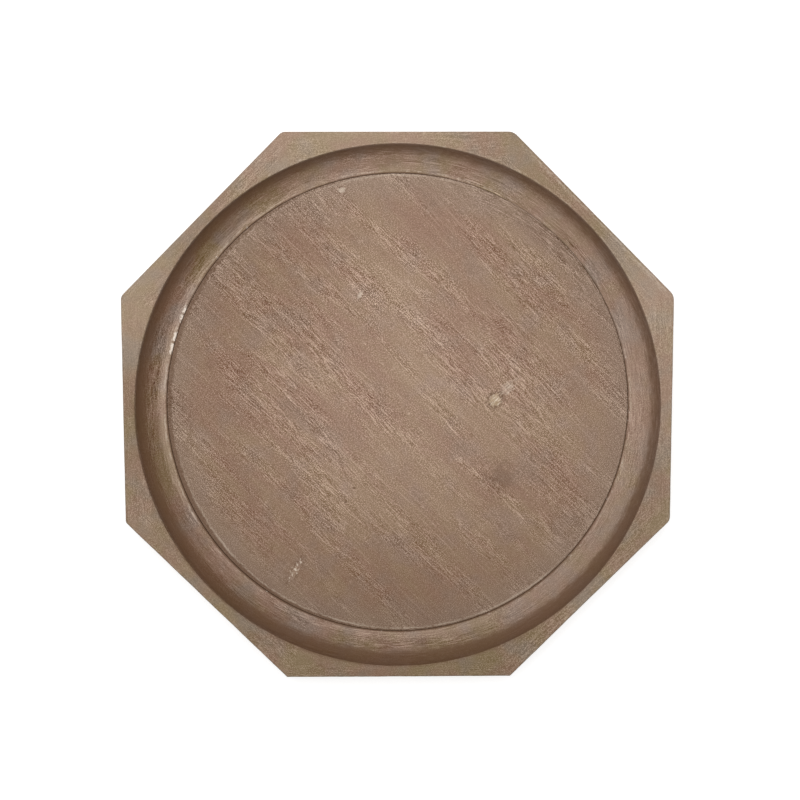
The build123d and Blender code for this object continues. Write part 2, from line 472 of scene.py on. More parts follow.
# Marks in the floor: place, half length and half width, turn of the length, and height or depth
floor_marks = {
    "edge_chip": ((-41.2 * mm, 161.5 * mm), 3.6 * mm, 2.4 * mm, radians(10), -0.35 * mm),
    "knot_tail": ((82.5 * mm, 13.5 * mm), 10.0 * mm, 4.5 * mm, radians(42), 0.0),
    "knot": ((73.6 * mm, 4.2 * mm), 6.7 * mm, 5.3 * mm, radians(50), 0.15 * mm),
    "smudge": ((78.2 * mm, -55.5 * mm), 13.0 * mm, 9.0 * mm, radians(75), 0.0),
    "rust_spot": ((-139.6 * mm, 32.8 * mm), 4.2 * mm, 3.2 * mm, radians(20), -0.05 * mm),
    "pin_knot_1": ((-33.4 * mm, -62.7 * mm), 1.5 * mm, 1.2 * mm, 0.0, -0.2 * mm),
    "pin_knot_2": ((-39.6 * mm, -73.5 * mm), 1.4 * mm, 1.2 * mm, 0.0, -0.2 * mm),
    "scuffs": ((-78.7 * mm, -126.7 * mm), 3.4 * mm, 11.0 * mm, radians(149), -0.06 * mm),
    "nick": ((-28.2 * mm, 83.6 * mm), 4.0 * mm, 1.6 * mm, radians(60), -0.15 * mm),
}


def joint_wear(bearing):
    """How wide the floor's edge is worn down beside the joint, at a bearing round the well."""
    width = round_the_tray(joint_widths, bearing) * mm
    ragged = 1 + 0.2 * sway(bearing * sheet_radius / (7 * mm), 4.4)
    return width * (ragged + 0.12 * sway(bearing * bites_per_radian, 8.8))


def joint_rubbing_and_highlight(bearing):
    """How pale the shoulder of the floor's edge is made at a bearing: partly rubbing, partly a painted
    highlight.
    """
    stretches = smooth(-0.35, 0.25, sway(bearing * sheet_radius / (21 * mm), 12.6))
    return round_the_tray(joint_rubbings_and_highlights, bearing) * blend(0.5, 1.0, stretches)


def floor_relief(x, y):
    """The height of the floor's hand-made unevenness and its marks above its level."""
    along = x * cos(grain_turn) + y * sin(grain_turn)
    across = y * cos(grain_turn) - x * sin(grain_turn)
    height = 0.05 * mm * sway(along / (70 * mm), across / (9 * mm))
    for (centre_x, centre_y), length, width, turn, rise in floor_marks.values():
        away_x = x - centre_x
        away_y = y - centre_y
        share_along = (away_x * cos(turn) + away_y * sin(turn)) / length
        share_across = (away_y * cos(turn) - away_x * sin(turn)) / width
        height += rise * exp(-1.5 * (share_along**2 + share_across**2))
    return height


def floor_rings():
    """The sheet's rings, from the middle out: lists of (radius, bearing, fall, paleness from rubbing
    and painted highlight, darkness from glazing and painted shade).
    """
    ring_gap = 1.5 * mm
    edge_band = 9.0 * mm
    doublings = ((20 * mm, 90), (45 * mm, 180), (90 * mm, 360), (1.0, edge_spots))
    rings = []
    for step in range(1, int((sheet_radius - edge_band) / ring_gap) + 1):
        radius = step * ring_gap
        count = next(count for limit, count in doublings if radius < limit)
        rings.append([(radius, 2 * pi * spot / count, 0.0, 0.0, 0.0) for spot in range(count)])
    last_radius = rings[-1][0][0]
    bearings = [2 * pi * spot / edge_spots for spot in range(edge_spots)]
    edges = [lip_radius - round_the_tray(joint_gaps, bearing) * mm for bearing in bearings]

    # Level as far as the shoulder of the worn edge, paled by rubbing and a painted highlight, then
    # down that edge, darkened by glaze and painted shade, then upright
    for share in (0.25, 0.45, 0.62, 0.76, 0.86, 0.93, 0.97, 1.0):
        ring = []
        for bearing, edge in zip(bearings, edges):
            radius = blend(last_radius, edge - joint_wear(bearing), share)
            rubbed_and_lit = smooth(0.78, 0.97, share) * joint_rubbing_and_highlight(bearing)
            ring.append((radius, bearing, 0.0, rubbed_and_lit, 0.0))
        rings.append(ring)
    for share in (0.06, 0.15, 0.3, 0.5, 0.7, 0.85, 1.0):
        ring = []
        for bearing, edge in zip(bearings, edges):
            width = joint_wear(bearing)
            depth = (0.15 * mm + 0.10 * width) * share**0.8
            rubbed_and_lit = (1 - smooth(0.0, 0.4, share)) * joint_rubbing_and_highlight(bearing)
            shade_and_glaze = round_the_tray(joint_glazes_and_shades, bearing) * smooth(0.0, 0.45, share)
            # Painted shade of the joint at the foot of the worn edge, more where the joint gapes wider
            gap_shade = round_the_tray(joint_gaps, bearing) * 1.8 * smooth(0.8, 1.0, share)
            shade_and_glaze = min(max(shade_and_glaze, gap_shade), 1.0)
            ring.append((edge - width * (1 - share), bearing, -depth, rubbed_and_lit, shade_and_glaze))
        rings.append(ring)
    # The foot of the upright edge, down in the joint, in full painted shade
    drop = ledge_level - floor_level
    rings.append([(edge, bearing, drop, 0.0, 1.0) for bearing, edge in zip(bearings, edges)])
    return rings


def joined_rings(inner, inner_count, outer, outer_count):
    """Faces from one ring of points out to the next, which has as many points or twice as many."""
    faces = []
    for spot in range(inner_count):
        near = [inner + spot, inner + (spot + 1) % inner_count]
        if inner_count == outer_count:
            far = [outer + spot, outer + (spot + 1) % outer_count]
            faces.append([near[0], far[0], far[1], near[1]])
        else:
            far = [outer + (2 * spot + more) % outer_count for more in range(3)]
            faces.append([near[0], far[0], far[1]])
            faces.append([near[0], far[1], near[1]])
            faces.append([near[1], far[1], far[2]])
    return faces


def floor_sheet():
    """The round floor sheet, with a worn edge, and what its mesh holds for each point."""
    rings = floor_rings()
    points = [Vector((0, 0, floor_level + floor_relief(0, 0)))]
    held = {"wear_and_highlight": [0.0], "shade_and_glaze": [0.0], "scored": [0.0], "tone_and_light": [0.0], "turned": [(0.0, 0.0, 0.0)]}
    starts = []
    for ring in rings:
        starts.append(len(points))
        for radius, bearing, fall, rubbed_and_lit, shade_and_glaze in ring:
            x = radius * cos(bearing)
            y = radius * sin(bearing)
            relief = floor_relief(x, y) if ring is not rings[-1] else 0.0
            at_edge = smooth(158 * mm, 168 * mm, radius)
            outwards = smooth(0.2, 0.85, radius / sheet_radius)
            points.append(Vector((x, y, floor_level + fall + relief)))
            held["wear_and_highlight"].append(rubbed_and_lit)
            held["shade_and_glaze"].append(shade_and_glaze)
            held["scored"].append(0.5 * within(bearing, scraped_stretch) * at_edge)
            held["tone_and_light"].append(round_the_tray(floor_light_falloffs, bearing) * outwards)
            held["turned"].append((bearing * sheet_radius, radius, 0.0))
    faces = fan(1, 0, len(rings[0]))
    for ring in range(1, len(rings)):
        inner_count = len(rings[ring - 1])
        faces.extend(joined_rings(starts[ring - 1], inner_count, starts[ring], len(rings[ring])))
    faces.append([starts[-1] + spot for spot in range(edge_spots)])
    mesh = closed_mesh("weathered_floor", points, faces, radians(50))
    for name, values in held.items():
        keep_values(mesh, name, values)
    return mesh


# ---------------------------------------------------------------- Screws, dowels and feet


def lathe_turned(name, outline, around, sharp_angle, swell=None):
    """A closed turned shape on the Z axis, where its outline of (radius, height) starts and ends."""
    swells = [swell(turn) if swell else 1 for turn in steps(0, 2 * pi, around)[:-1]]
    points = [Vector((0, 0, outline[0][1]))]
    for radius, height in outline[1:-1]:
        points.extend(turned_ring([radius * share for share in swells], height))
    last = len(points) - around
    faces = fan(1, 0, around) + fan(last, len(points), around)
    for ring in range(1, last, around):
        faces.extend(ring_of_quads(ring, ring + around, around))
    points.append(Vector((0, 0, outline[-1][1])))
    return closed_mesh(name, points, faces, sharp_angle)


def countersunk_screw():
    """One screw on the Z axis, head down, with a cross recess and a coarse wood thread."""
    around = 24
    pitch = 1.6 * mm
    head_rim = 0.2 * mm
    head_arris = 0.1 * mm
    point_length = 3 * mm
    neck = under_level + head_rim + screw_head_radius - screw_shank_radius
    points = turned_ring([screw_head_radius - head_arris] * around, under_level)
    points += turned_ring([screw_head_radius] * around, under_level + head_arris)
    points += turned_ring([screw_head_radius] * around, under_level + head_rim)
    points += turned_ring([screw_shank_radius] * around, neck)
    for height in steps(neck + 1.0 * mm, screw_tip - 0.15 * mm, 96):
        narrowing = min(1.0, (screw_tip - height) / point_length)
        radius = screw_shank_radius * blend(0.12, 1.0, narrowing)
        phases = [(height / pitch - turn / (2 * pi)) % 1 for turn in steps(0, 2 * pi, around)[:-1]]
        ridges = [max(0.0, 1 - abs(phase - 0.5) * 4.5) for phase in phases]
        points += turned_ring([radius * blend(0.68, 1.0, ridge) for ridge in ridges], height)
    last = len(points) - around
    faces = fan(last, len(points), around)
    for ring in range(0, last, around):
        faces.extend(ring_of_quads(ring, ring + around, around))
    points.append(Vector((0, 0, screw_tip)))

    # The cross recess: a rounded cross in the head that narrows as it goes in
    arm = 1.9 * mm
    half_width = 0.5 * mm
    inner = 0.62 * mm
    quarter = [(inner, -inner), (0.9 * arm, -half_width), (arm, -0.6 * half_width)]
    quarter += [(arm, 0.6 * half_width), (0.9 * arm, half_width)]
    cross = []
    for turn in steps(0, 2 * pi, 4)[:-1]:
        cross += [(x * cos(turn) - y * sin(turn), x * sin(turn) + y * cos(turn)) for x, y in quarter]
    size = len(cross)
    first = len(points)
    for depth, share in ((0.0, 1.0), (0.6 * mm, 0.8), (1.2 * mm, 0.5)):
        points.extend(Vector((x * share, y * share, under_level + depth)) for x, y in cross)
    for ring in (first, first + size):
        faces.extend(ring_of_quads(ring, ring + size, size))
    edge = [(spot, points[spot].xy) for spot in range(around)]
    mouth = [(first + spot, place) for spot, place in enumerate(cross)]
    bottom = [(first + 2 * size + spot, place) for spot, place in enumerate(cross)]
    faces.extend(filled([edge, mouth]))
    faces.extend(filled([bottom]))
    return closed_mesh("one_screw", points, faces, radians(35))


def fluted_dowel():
    """One grooved dowel with chamfered ends, lying along Y."""
    half = dowel_length / 2
    end_radius = dowel_radius - dowel_chamfer
    outline = [(0, -half), (end_radius, -half), (dowel_radius, dowel_chamfer - half)]
    outline += [(dowel_radius, height) for height in steps(-0.9 * half, 0.9 * half, 8)]
    outline += [(dowel_radius, half - dowel_chamfer), (end_radius, half), (0, half)]

    def flutes(turn):
        return 1 - 0.07 * max(0.0, cos(14 * turn)) ** 3

    mesh = lathe_turned("one_dowel", outline, 84, radians(30), flutes)
    mesh.transform(Matrix.Rotation(pi / 2, 4, "X"))
    return mesh


def rubber_stud():
    """One low foot: a tapered stud with a rounded edge and a dished underside."""
    taper = tan(radians(12))
    edge = 0.5 * mm
    height = foot_high.z
    foot = foot_radius - height * taper
    outline = [(0, height), (foot_radius, height)]
    for level in steps(height, edge, 3)[1:]:
        outline.append((foot_radius - (height - level) * taper, level))
    for turn in steps(0.2, pi / 2, 4):
        outline.append((foot - edge * (1 - cos(turn)), edge * (1 - sin(turn))))
    outline += [(foot - 2.2 * mm, 0.0), (foot - 2.6 * mm, 0.15 * mm), (foot - 3.1 * mm, 0.25 * mm)]
    outline += [(1.6 * mm, 0.25 * mm), (1.3 * mm, 0.2 * mm), (0.9 * mm, 0.05 * mm), (0, 0.05 * mm)]
    return lathe_turned("one_foot", outline, 64, radians(40))


# ---------------------------------------------------------------- Node trees


class Wiring:
    """Places nodes in one tree and joins them. A value may be another node's output or a number."""

    def __init__(self, tree):
        self.tree = tree

    def place(self, kind, **settings):
        node = self.tree.nodes.new(kind)
        for setting, value in settings.items():
            setattr(node, setting, value)
        return node

    def feed(self, socket, value):
        if isinstance(value, bpy.types.NodeSocket):
            self.tree.links.new(value, socket)
        else:
            socket.default_value = value

    def fill(self, node, **values):
        for label, value in values.items():
            self.feed(node.inputs[label.replace("_", " ")], value)
        return node

    def here(self):
        """The place on the tray, in metres."""
        return self.place("ShaderNodeTexCoord").outputs["Object"]

    def held(self, name, output="Fac"):
        """What the mesh holds for each of its points: a number as Fac, or a place as Vector."""
        return self.place("ShaderNodeAttribute", attribute_name=name).outputs[output]

    def maths(self, operation, first, second=0.0):
        node = self.place("ShaderNodeMath", operation=operation)
        self.feed(node.inputs[0], first)
        self.feed(node.inputs[1], second)
        return node.outputs[0]

    def times(self, first, second):
        return self.maths("MULTIPLY", first, second)

    def plus(self, first, second):
        return self.maths("ADD", first, second)

    def minus(self, first, second):
        return self.maths("SUBTRACT", first, second)

    def weighed_sum(self, *parts):
        """The sum of values, each as (value, weight)."""
        total = 0.0
        for value, weight in parts:
            total = self.plus(self.times(value, weight), total)
        return total

    def vector(self, operation, first, second=(0, 0, 0)):
        node = self.place("ShaderNodeVectorMath", operation=operation)
        self.feed(node.inputs[0], first)
        self.feed(node.inputs[1], second)
        return node.outputs["Value"] if operation == "LENGTH" else node.outputs["Vector"]

    def combine(self, x, y, z):
        node = self.place("ShaderNodeCombineXYZ")
        return self.fill(node, X=x, Y=y, Z=z).outputs[0]

    def paler(self, colour, amount):
        """A colour with an amount of pale pigment added, or taken away where it is negative."""
        pigment = self.place("ShaderNodeVectorMath", operation="SCALE")
        self.fill(pigment, Vector=pale_pigment, Scale=amount)
        colour = colour[:3] if isinstance(colour, tuple) else colour
        tinted = self.vector("ADD", colour, pigment.outputs["Vector"])
        return self.vector("MAXIMUM", tinted, darkest_wood)

    def noise(self, place, size, detail=2.0, roughness=0.5):
        """Smooth noise about 0.5 at a place, with its features' size in metres, one or one an axis."""
        node = self.place("ShaderNodeTexNoise")
        size = (size, size, size) if isinstance(size, float) else size
        scaled = self.vector("DIVIDE", place, size)
        self.fill(node, Vector=scaled, Scale=1.0, Detail=detail, Roughness=roughness)
        return node.outputs["Fac"]

    def rise(self, value, low, high):
        """Rises smoothly from 0 where the value is low to 1 where it is high."""
        node = self.place("ShaderNodeMapRange", interpolation_type="SMOOTHSTEP")
        node.inputs["From Min"].default_value = low
        node.inputs["From Max"].default_value = high
        self.feed(node.inputs["Value"], value)
        return node.outputs["Result"]

    def mix(self, share, first, second):
        """The first colour, with a share of it covered by the second."""
        node = self.place("ShaderNodeMix", data_type="RGBA")
        self.feed(node.inputs[0], share)
        self.feed(node.inputs[6], first)
        self.feed(node.inputs[7], second)
        return node.outputs[2]

    def group(self, tree, **values):
        kind = "GeometryNodeGroup" if self.tree.bl_idname == "GeometryNodeTree" else "ShaderNodeGroup"
        node = self.place(kind, node_tree=tree)
        return self.fill(node, **values)


def new_group(name, kind, inputs, outputs):
    """A node group with named inputs, as (name, type, value), and named outputs, as (name, type)."""
    tree = bpy.data.node_groups.new(name, kind)
    for label, sort, value in inputs:
        socket = tree.interface.new_socket(label, in_out="INPUT", socket_type=sort)
        if value is not None:
            socket.default_value = value
    for label, sort in outputs:
        tree.interface.new_socket(label, in_out="OUTPUT", socket_type=sort)
    wiring = Wiring(tree)
    ins = wiring.place("NodeGroupInput").outputs
    outs = wiring.place("NodeGroupOutput").inputs
    return tree, wiring, ins, outs


def pairs_round_the_tray():
    """Geometry Nodes: repeats one piece in pairs round the tray, joined into one mesh."""
    tree, wiring, ins, outs = new_group(
        "pairs_round_the_tray",
        "GeometryNodeTree",
        [
            ("Piece", "NodeSocketGeometry", None),
            ("Circle", "NodeSocketFloat", 0.2),
            ("Pairs", "NodeSocketInt", 8),
            ("First Angle", "NodeSocketFloat", 0.0),
            ("Half Angle", "NodeSocketFloat", 0.0),
            ("Level", "NodeSocketFloat", 0.0),
            ("Half Rise", "NodeSocketFloat", 0.0),
            ("Turn Range", "NodeSocketFloat", 0.0),
            ("Roll Range", "NodeSocketFloat", 0.0),
            ("Seed", "NodeSocketInt", 1),
            ("Finish", "NodeSocketMaterial", None),
        ],
        [("Pieces", "NodeSocketGeometry")],
    )
    index = wiring.place("GeometryNodeInputIndex").outputs[0]
    pair = wiring.maths("FLOOR", wiring.maths("DIVIDE", index, 2.0))
    sign = wiring.minus(wiring.times(wiring.maths("MODULO", index, 2.0), 2.0), 1.0)
    pair_step = wiring.maths("DIVIDE", 2 * pi, ins["Pairs"])
    angle = wiring.plus(wiring.times(pair, pair_step), ins["First Angle"])
    angle = wiring.plus(angle, wiring.times(sign, ins["Half Angle"]))
    place = wiring.combine(
        wiring.times(wiring.maths("COSINE", angle), ins["Circle"]),
        wiring.times(wiring.maths("SINE", angle), ins["Circle"]),
        wiring.plus(wiring.times(sign, ins["Half Rise"]), ins["Level"]),
    )
    chances = []
    for extra in (0, 1):
        chance = wiring.place("FunctionNodeRandomValue", data_type="FLOAT")
        chance.inputs["Min"].default_value = -1.0
        wiring.feed(chance.inputs["Seed"], wiring.plus(ins["Seed"], float(extra)))
        chances.append(chance.outputs["Value"])
    turn = wiring.plus(angle, wiring.times(chances[0], ins["Turn Range"]))
    roll = wiring.times(chances[1], ins["Roll Range"])
    spots = wiring.place("GeometryNodePoints")
    wiring.fill(spots, Count=wiring.times(ins["Pairs"], 2.0), Position=place)
    copies = wiring.place("GeometryNodeInstanceOnPoints")
    wiring.fill(copies, Points=spots.outputs[0], Instance=ins["Piece"])
    wiring.fill(copies, Rotation=wiring.combine(0.0, roll, turn))
    joined = wiring.place("GeometryNodeRealizeInstances")
    wiring.feed(joined.inputs[0], copies.outputs[0])
    coated = wiring.place("GeometryNodeSetMaterial")
    wiring.fill(coated, Geometry=joined.outputs[0], Material=ins["Finish"])
    wiring.feed(outs["Pieces"], coated.outputs[0])
    return tree


def repeated(name, one, tree, **values):
    """Runs a piece through the pairs tree and returns the result as a plain mesh."""
    holder = bpy.data.objects.new(name + "_pattern", one)
    bpy.context.scene.collection.objects.link(holder)
    modifier = holder.modifiers.new("pairs", "NODES")
    modifier.node_group = tree
    for item in tree.interface.items_tree:
        label = item.name.replace(" ", "_")
        if item.in_out == "INPUT" and label in values:
            modifier[item.identifier] = values[label]
    depsgraph = bpy.context.evaluated_depsgraph_get()
    mesh = bpy.data.meshes.new_from_object(holder.evaluated_get(depsgraph))
    mesh.name = name
    holder.modifiers.remove(modifier)
    bpy.data.objects.remove(holder)
    return mesh


# ---------------------------------------------------------------- Finishes

floor_browns = ((0.283, 0.177, 0.124, 1), (0.272, 0.180, 0.116, 1), (0.270, 0.181, 0.130, 1))
rim_browns = ((0.276, 0.180, 0.125, 1), (0.262, 0.189, 0.115, 1), (0.254, 0.192, 0.142, 1))
cove_browns = ((0.283, 0.184, 0.133, 1), (0.262, 0.184, 0.116, 1), (0.268, 0.195, 0.152, 1))
edge_brown = (0.270, 0.190, 0.140, 1)
# This dark tint colours the dark marks in the floor and the painted shade in the cove and at the joints
dark_umber_and_shade = (0.112, 0.055, 0.026, 1)
lime_wash = (0.42, 0.32, 0.25, 1)
bare_wood_and_highlight = (0.60, 0.50, 0.40, 1)
split_wood = (0.86, 0.76, 0.66, 1)
knot_wood = (0.42, 0.32, 0.19, 1)
rust_brown = (0.17, 0.085, 0.055, 1)

# What paler adds or takes away, and the darkest that it leaves
pale_pigment = (0.27, 0.215, 0.178)
darkest_wood = (0.02, 0.012, 0.008)

# The tint of each of the floor's marks, how much of it there is, and how ragged the mark is, then
# how dark the ring round some of them is, and how pale the flecks in some of them are
mark_tints = {
    "smudge": (dark_umber_and_shade, 0.36, 1.0),
    "rust_spot": (rust_brown, 0.3, 0.8),
    "pin_knot_1": (dark_umber_and_shade, 0.75, 0.3),
    "pin_knot_2": (dark_umber_and_shade, 0.75, 0.3),
    "knot_tail": (lime_wash, 0.3, 0.8),
    "knot": (knot_wood, 0.45, 0.5),
    "edge_chip": (bare_wood_and_highlight, 0.5, 0.5),
    "scuffs": (lime_wash, 0.1, 0.7),
    "nick": (bare_wood_and_highlight, 0.5, 0.7),
}
mark_rings = {"knot": 0.9, "edge_chip": 0.5, "rust_spot": 0.4, "scuffs": 0.6, "smudge": 0.2}
mark_flecks = {"knot_tail": 0.7, "knot": 1.0, "scuffs": 0.9}


def wood_grain_group():
    """A brushed wash on wood with its grain along X: how much paler it is, its relief, its patches."""
    tree, wiring, ins, outs = new_group(
        "wood_grain",
        "ShaderNodeTree",
        [
            ("Place", "NodeSocketVector", None),
            ("Streak Length", "NodeSocketFloat", 9 * mm),
            ("Streak Width", "NodeSocketFloat", 1.1 * mm),
            ("Waver", "NodeSocketFloat", 1.5 * mm),
            ("Patch Size", "NodeSocketFloat", 30 * mm),
            ("Contrast", "NodeSocketFloat", 1.0),
        ],
        [
            ("Brightness", "NodeSocketFloat"),
            ("Height", "NodeSocketFloat"),
            ("Patches", "NodeSocketFloat"),
            ("Drift", "NodeSocketFloat"),
        ],
    )
    place = ins["Place"]
    wander = wiring.minus(wiring.noise(place, (90 * mm, 30 * mm, 30 * mm), 1.0), 0.5)
    offset = wiring.times(wander, wiring.times(ins["Waver"], 4.0))
    wavy = wiring.vector("ADD", place, wiring.combine(0.0, offset, 0.0))
    width = ins["Streak Width"]
    length = ins["Streak Length"]
    thin = wiring.times(width, 0.6)
    patch = ins["Patch Size"]
    streaks = wiring.noise(wavy, wiring.combine(length, width, width), 2.0, 0.55)
    fibre = wiring.combine(wiring.times(length, 0.6), thin, thin)
    fibres = wiring.noise(wavy, fibre, 1.0, 0.5)
    specks = wiring.noise(place, (0.8 * mm, 0.52 * mm, 0.52 * mm), 0.0)
    scratches = wiring.noise(wavy, (70 * mm, 0.8 * mm, 0.8 * mm), 1.0, 0.5)
    nicks = wiring.rise(wiring.noise(place, (4 * mm, 1.7 * mm, 1.7 * mm), 0.0), 0.76, 0.84)
    pores = wiring.rise(wiring.noise(wavy, (4.5 * mm, 0.5 * mm, 0.5 * mm), 0.0), 0.68, 0.78)
    long_patch = wiring.combine(wiring.times(patch, 3.0), patch, patch)
    patches = wiring.noise(place, long_patch, 3.0, 0.6)
    drift = wiring.noise(wiring.vector("ADD", place, (3.1, 1.7, 0.9)), patch, 2.0, 0.5)
    swathe = wiring.combine(wiring.times(patch, 3.4), wiring.times(patch, 0.6), patch)
    brushed = wiring.noise(wiring.vector("ADD", wavy, (7.7, 0.3, 4.1)), swathe, 2.0, 0.55)
    brushing = wiring.plus(wiring.times(wiring.rise(brushed, 0.42, 0.62), 1.3), 0.2)
    pale_streaks = wiring.rise(streaks, 0.48, 0.72)
    pale_fibres = wiring.rise(fibres, 0.46, 0.66)
    combed = wiring.weighed_sum((pale_streaks, 0.12), (pale_fibres, 0.46))
    combed = wiring.times(wiring.minus(combed, 0.12), brushing)
    speckled = wiring.plus(wiring.times(brushing, 0.5), 0.7)
    speckled = wiring.times(wiring.minus(wiring.rise(specks, 0.46, 0.70), 0.26), speckled)
    pale_scratches = wiring.rise(scratches, 0.60, 0.74)
    clouded = wiring.weighed_sum((pale_scratches, 0.28), (patches, 0.6), (pores, -0.15))
    clouded = wiring.plus(clouded, wiring.times(nicks, 0.5))
    clouded = wiring.plus(clouded, -0.31)
    uneven = wiring.plus(wiring.plus(combed, speckled), clouded)
    uneven = wiring.times(uneven, ins["Contrast"])
    wiring.feed(outs["Brightness"], uneven)
    height = wiring.weighed_sum((streaks, 0.5), (fibres, 0.6), (specks, 0.35), (pores, -0.4))
    wiring.feed(outs["Height"], height)
    wiring.feed(outs["Patches"], patches)
    wiring.feed(outs["Drift"], drift)
    return tree


def broken_coat_group():
    """Breaks a smooth amount of wear, glazing, painted shade or painted highlight into flakes with
    ragged edges.
    """
    tree, wiring, ins, outs = new_group(
        "broken_coat",
        "ShaderNodeTree",
        [
            ("Place", "NodeSocketVector", None),
            ("Amount", "NodeSocketFloat", 0.0),
            ("Flake Size", "NodeSocketFloat", 2.0 * mm),
            ("Raggedness", "NodeSocketFloat", 0.8),
        ],
        [("Mask", "NodeSocketFloat")],
    )
    size = ins["Flake Size"]
    flake = wiring.combine(wiring.times(size, 3.0), size, size)
    flakes = wiring.noise(ins["Place"], flake, 3.0, 0.65)
    uneven = wiring.times(wiring.minus(flakes, 0.5), ins["Raggedness"])
    uneven = wiring.times(uneven, 2.5)
    swayed = wiring.plus(ins["Amount"], uneven)
    present = wiring.rise(ins["Amount"], 0.0, 0.12)
    wiring.feed(outs["Mask"], wiring.times(wiring.rise(swayed, 0.1, 0.9), present))
    return tree


def tool_marks_group():
    """Strokes that a turning tool left round the tray: how much paler they are, and their relief."""
    tree, wiring, ins, outs = new_group(
        "tool_marks",
        "ShaderNodeTree",
        [
            ("Place", "NodeSocketVector", None),
            ("Amount", "NodeSocketFloat", 0.0),
            ("Stroke Length", "NodeSocketFloat", 16 * mm),
            ("Stroke Width", "NodeSocketFloat", 0.65 * mm),
            ("Evenness", "NodeSocketFloat", 0.3),
        ],
        [("Brightness", "NodeSocketFloat"), ("Height", "NodeSocketFloat")],
    )
    size = wiring.combine(ins["Stroke Length"], ins["Stroke Width"], 1.0)
    strokes = wiring.noise(ins["Place"], size, 3.0, 0.65)
    chatter = wiring.rise(wiring.noise(ins["Place"], (60 * mm, 9 * mm, 1.0), 2.0), 0.44, 0.60)
    amount = wiring.times(wiring.plus(chatter, ins["Evenness"]), ins["Amount"])
    pale = wiring.minus(wiring.rise(strokes, 0.44, 0.66), 0.34)
    wiring.feed(outs["Brightness"], wiring.times(pale, amount))
    wiring.feed(outs["Height"], wiring.times(strokes, ins["Amount"]))
    return tree


def mark_group():
    """A ragged oval mark with a soft edge, the ring along its edge, and the flecks in it."""
    tree, wiring, ins, outs = new_group(
        "mark_in_the_wood",
        "ShaderNodeTree",
        [
            ("Place", "NodeSocketVector", None),
            ("Centre", "NodeSocketVector", None),
            ("Half Length", "NodeSocketFloat", 5 * mm),
            ("Half Width", "NodeSocketFloat", 5 * mm),
            ("Turn", "NodeSocketFloat", 0.0),
            ("Raggedness", "NodeSocketFloat", 0.4),
        ],
        [("Mask", "NodeSocketFloat"), ("Edge", "NodeSocketFloat"), ("Fleck", "NodeSocketFloat")],
    )
    away = wiring.vector("SUBTRACT", ins["Place"], ins["Centre"])
    turned = wiring.place("ShaderNodeVectorRotate", rotation_type="Z_AXIS")
    wiring.fill(turned, Vector=away, Angle=wiring.times(ins["Turn"], -1.0))
    size = wiring.combine(ins["Half Length"], ins["Half Width"], 1.0)
    shares = wiring.vector("DIVIDE", turned.outputs[0], size)
    ragged = wiring.noise(shares, (0.45, 0.3, 1.0), 3.0, 0.6)
    swing = wiring.times(wiring.minus(ragged, 0.5), ins["Raggedness"])
    distance = wiring.plus(wiring.vector("LENGTH", shares), wiring.times(swing, 4.0))
    wiring.feed(outs["Mask"], wiring.minus(1.0, wiring.rise(distance, 0.45, 1.05)))
    inside = wiring.rise(distance, 0.6, 0.95)
    outside = wiring.rise(distance, 0.95, 1.3)
    wiring.feed(outs["Edge"], wiring.minus(inside, outside))
    flecks = wiring.noise(shares, (0.9, 0.22, 1.0), 2.0, 0.6)
    wiring.feed(outs["Fleck"], wiring.rise(flecks, 0.48, 0.62))
    return tree


groups = {
    "grain": wood_grain_group(),
    "coat": broken_coat_group(),
    "strokes": tool_marks_group(),
    "mark": mark_group(),
}


def start_material(name):
    """A new material with its shader's wiring and Principled BSDF."""
    material = bpy.data.materials.new(name)
    material.use_nodes = True
    wiring = Wiring(material.node_tree)
    shader = next(node for node in material.node_tree.nodes if node.type == "BSDF_PRINCIPLED")
    return material, wiring, shader


def add_relief(wiring, shader, height, depth, strength):
    """Gives the surface a fine relief."""
    bump = wiring.place("ShaderNodeBump")
    bump.inputs["Strength"].default_value = strength
    bump.inputs["Distance"].default_value = depth
    wiring.feed(bump.inputs["Height"], height)
    wiring.feed(shader.inputs["Normal"], bump.outputs["Normal"])


def washed_colour(wiring, grain, patches, drift, browns):
    """The wash: browns that pass into each other in patches, brightened and darkened by the grain."""
    colour = wiring.mix(wiring.rise(patches, 0.36, 0.64), browns[0], browns[1])
    colour = wiring.mix(wiring.rise(drift, 0.45, 0.72), colour, browns[2])
    return wiring.paler(colour, grain.outputs["Brightness"])


def wood_gloss(wiring, shader, grain, base):
    """A matt wash that is a little drier where its fibres stand up."""
    rough = wiring.times(grain.outputs["Height"], 0.2)
    wiring.feed(shader.inputs["Roughness"], wiring.plus(rough, base))
    shader.inputs["Specular IOR Level"].default_value = 0.3


def along_grain(wiring, turn):
    """The place on the tray, turned so that X is along a grain that lies at a turn round Z."""
    mapping = wiring.place("ShaderNodeMapping")
    mapping.inputs["Rotation"].default_value = (0, 0, -turn)
    wiring.feed(mapping.inputs["Vector"], wiring.here())
    return mapping.outputs[0]


def from_centre(wiring):
    """The distance from the tray's upright axis."""
    return wiring.vector("LENGTH", wiring.vector("MULTIPLY", wiring.here(), (1, 1, 0)))


def flaked(wiring, colour, tint, most, place, amount, size, raggedness):
    """The colour, with flakes of a tint over it as far as the amount says."""
    flakes = wiring.group(groups["coat"], Place=place, Amount=amount)
    wiring.fill(flakes, Flake_Size=size, Raggedness=raggedness)
    return wiring.mix(wiring.times(flakes.outputs["Mask"], most), colour, tint)


